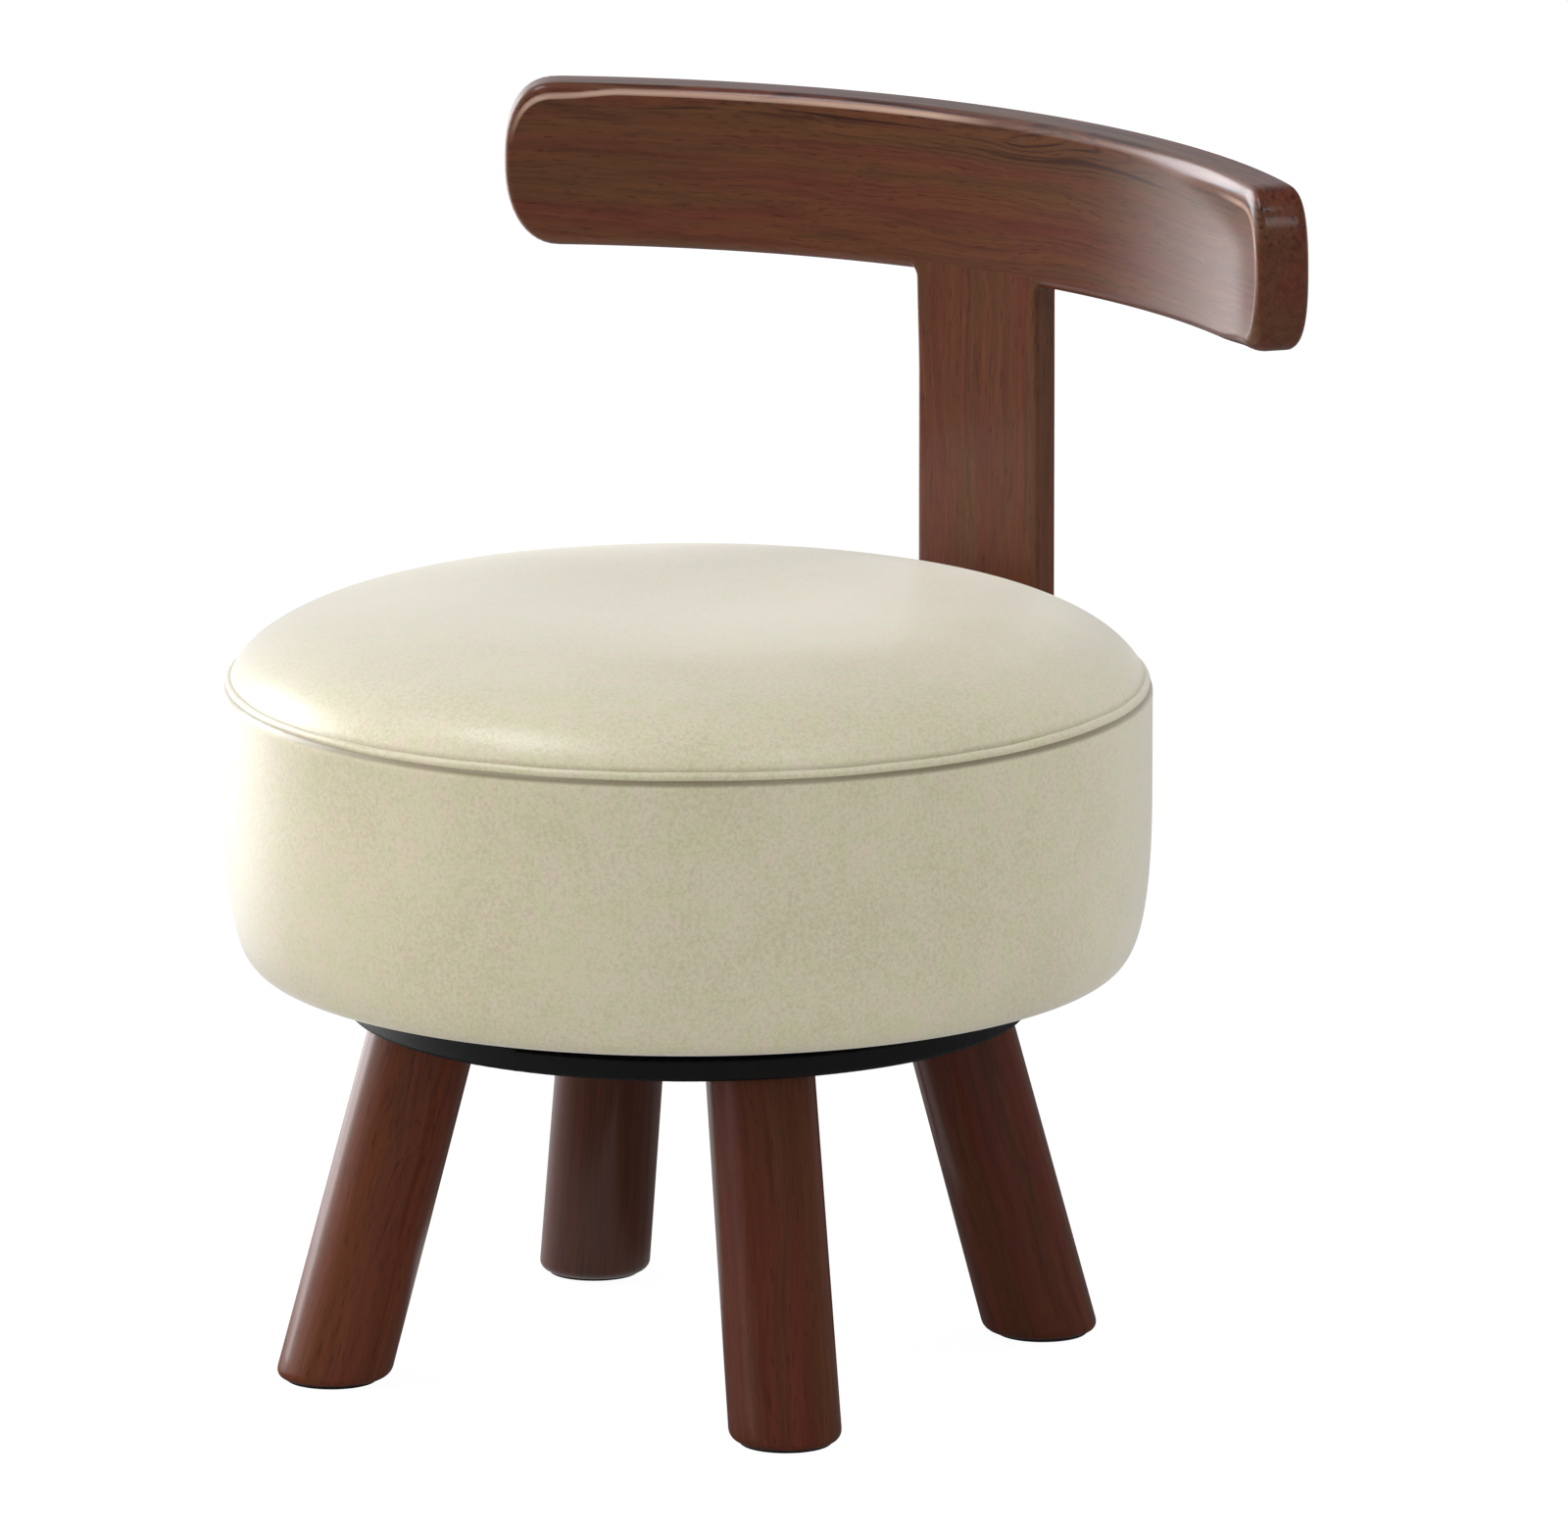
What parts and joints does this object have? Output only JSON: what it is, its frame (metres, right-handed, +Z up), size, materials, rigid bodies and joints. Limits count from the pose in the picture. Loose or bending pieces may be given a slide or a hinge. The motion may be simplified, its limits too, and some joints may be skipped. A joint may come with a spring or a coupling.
{
  "type": "stool with backrest",
  "caption": "Low swivel stool: a round padded leather drum seat with a curved wooden back rail on a flat post, turning on a black disc over splayed round legs.",
  "frame": {"origin": "on the floor, in the middle of the stool's width and depth; the swivel axis stands 10.25 mm in front of it", "axes": "+Z up, +Y towards the backrest, +X to the right of someone who looks along +Y"},
  "size_m": [0.3768, 0.3605, 0.438],
  "materials": {
    "stained_walnut": "satin lacquer",
    "cream_leather": "smooth, softly glossy",
    "black_board": "matte black paint",
    "black_felt": "felt",
    "dust_cloth": "non-woven cloth",
    "zinc_steel": "zinc plated",
    "bearing_steel": "polished",
    "brass": "turned",
    "plywood": "sanded, raw",
    "foam": "open cell foam"
  },
  "bodies": {
    "base": {"leg_front_left": "stained_walnut", "leg_front_right": "stained_walnut", "leg_back_left": "stained_walnut", "leg_back_right": "stained_walnut", "foot_pads": "black_felt", "base_disc": "black_board", "leg_inserts": "brass", "leg_bolts": "zinc_steel", "leg_washers": "zinc_steel", "bearing_lower_plate": "zinc_steel", "bearing_retainer": "zinc_steel", "lower_screws": "zinc_steel"},
    "ball_ring": {"bearing_balls": "bearing_steel", "ball_cage": "brass"},
    "seat": {"bearing_upper_plate": "zinc_steel", "upper_screws": "zinc_steel", "seat_board": "plywood", "seat_hoop": "plywood", "seat_lid": "plywood", "backing_block": "plywood", "spacer_block": "plywood", "side_foam": "foam", "crown_foam": "foam", "side_cover": "cream_leather", "crown_cover": "cream_leather", "piping": "cream_leather", "dust_cover": "dust_cloth", "cover_staples": "zinc_steel", "back_post": "stained_walnut", "back_rail": "stained_walnut", "post_bolts": "zinc_steel", "post_t_nuts": "zinc_steel"}
  },
  "joints": [
    {"name": "seat_swivel", "type": "hinge", "parent": "base", "child": "seat", "pos_m": [0, -0.01025, 0.145], "axis": [0, 0, 1], "continuous": true},
    {"name": "cage_spin", "type": "hinge", "parent": "base", "child": "ball_ring", "pos_m": [0, -0.01025, 0.145], "axis": [0, 0, 1], "continuous": true}
  ],
  "couplings": [
    {"joint": "cage_spin", "follows": "seat_swivel", "ratio": 0.5}
  ]
}
